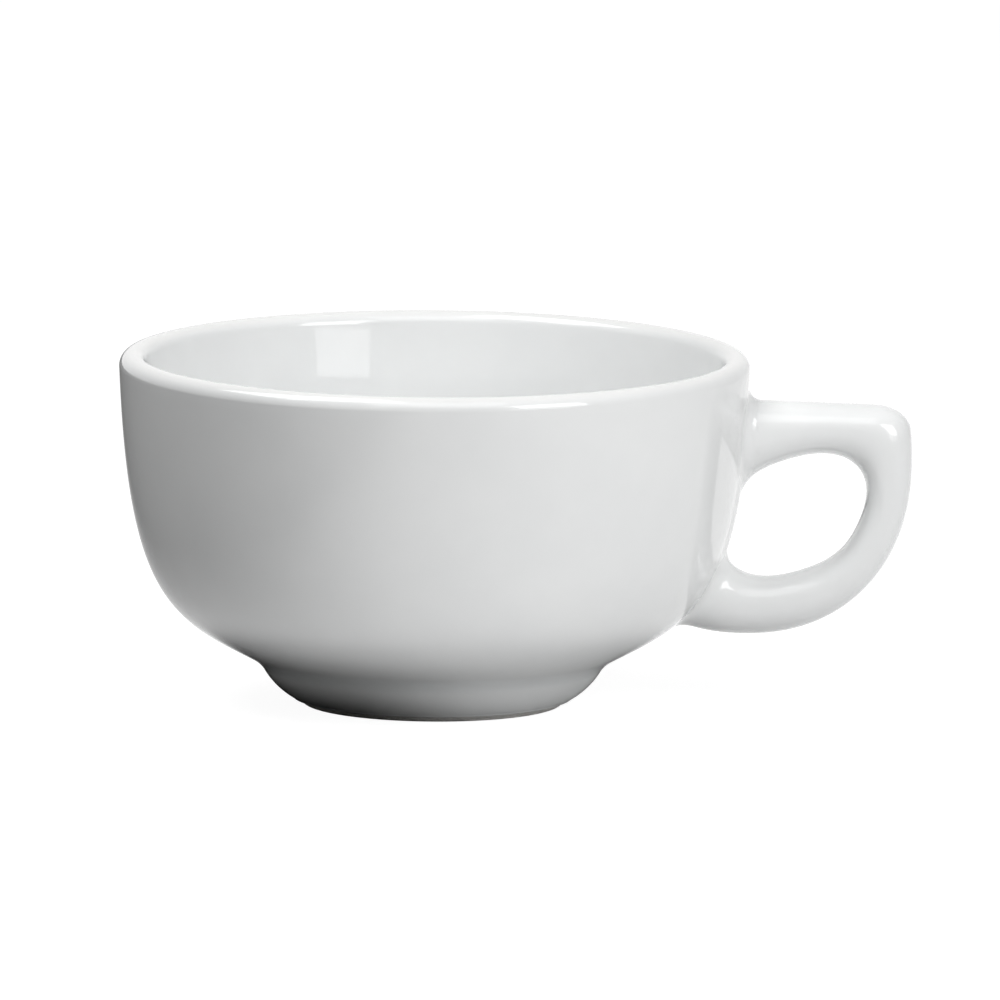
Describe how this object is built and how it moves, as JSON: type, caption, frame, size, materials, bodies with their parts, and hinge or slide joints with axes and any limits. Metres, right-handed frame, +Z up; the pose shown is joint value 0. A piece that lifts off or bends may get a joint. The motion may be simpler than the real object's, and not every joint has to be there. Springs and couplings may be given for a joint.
{
  "type": "cappuccino cup",
  "caption": "Wide porcelain cappuccino cup: rounded bowl with a thick round lip on a flared foot, and a loop handle at the side. Glazed white except for the ring it stands on.",
  "frame": {"origin": "on the table under the middle of the bowl, in the plane of the foot's contact ring", "axes": "+Z up the bowl's axis, +X out along the handle, +Y to the back as the picture sees it"},
  "size_m": [0.1283, 0.102, 0.057],
  "materials": {
    "clay": "fired porcelain body under the glaze",
    "bare_foot": "fired porcelain, ground smooth and bare where it stands",
    "slip": "fired slip under the glaze",
    "glaze": "glossy white glaze"
  },
  "bodies": {
    "root": {"bowl": "clay", "foot_ring": "bare_foot", "handle": "clay", "upper_slip_joint": "slip", "lower_slip_joint": "slip", "inner_glaze": "glaze", "outer_glaze": "glaze", "handle_glaze": "glaze", "foot_glaze": "glaze", "well_glaze": "glaze"}
  },
  "joints": []
}
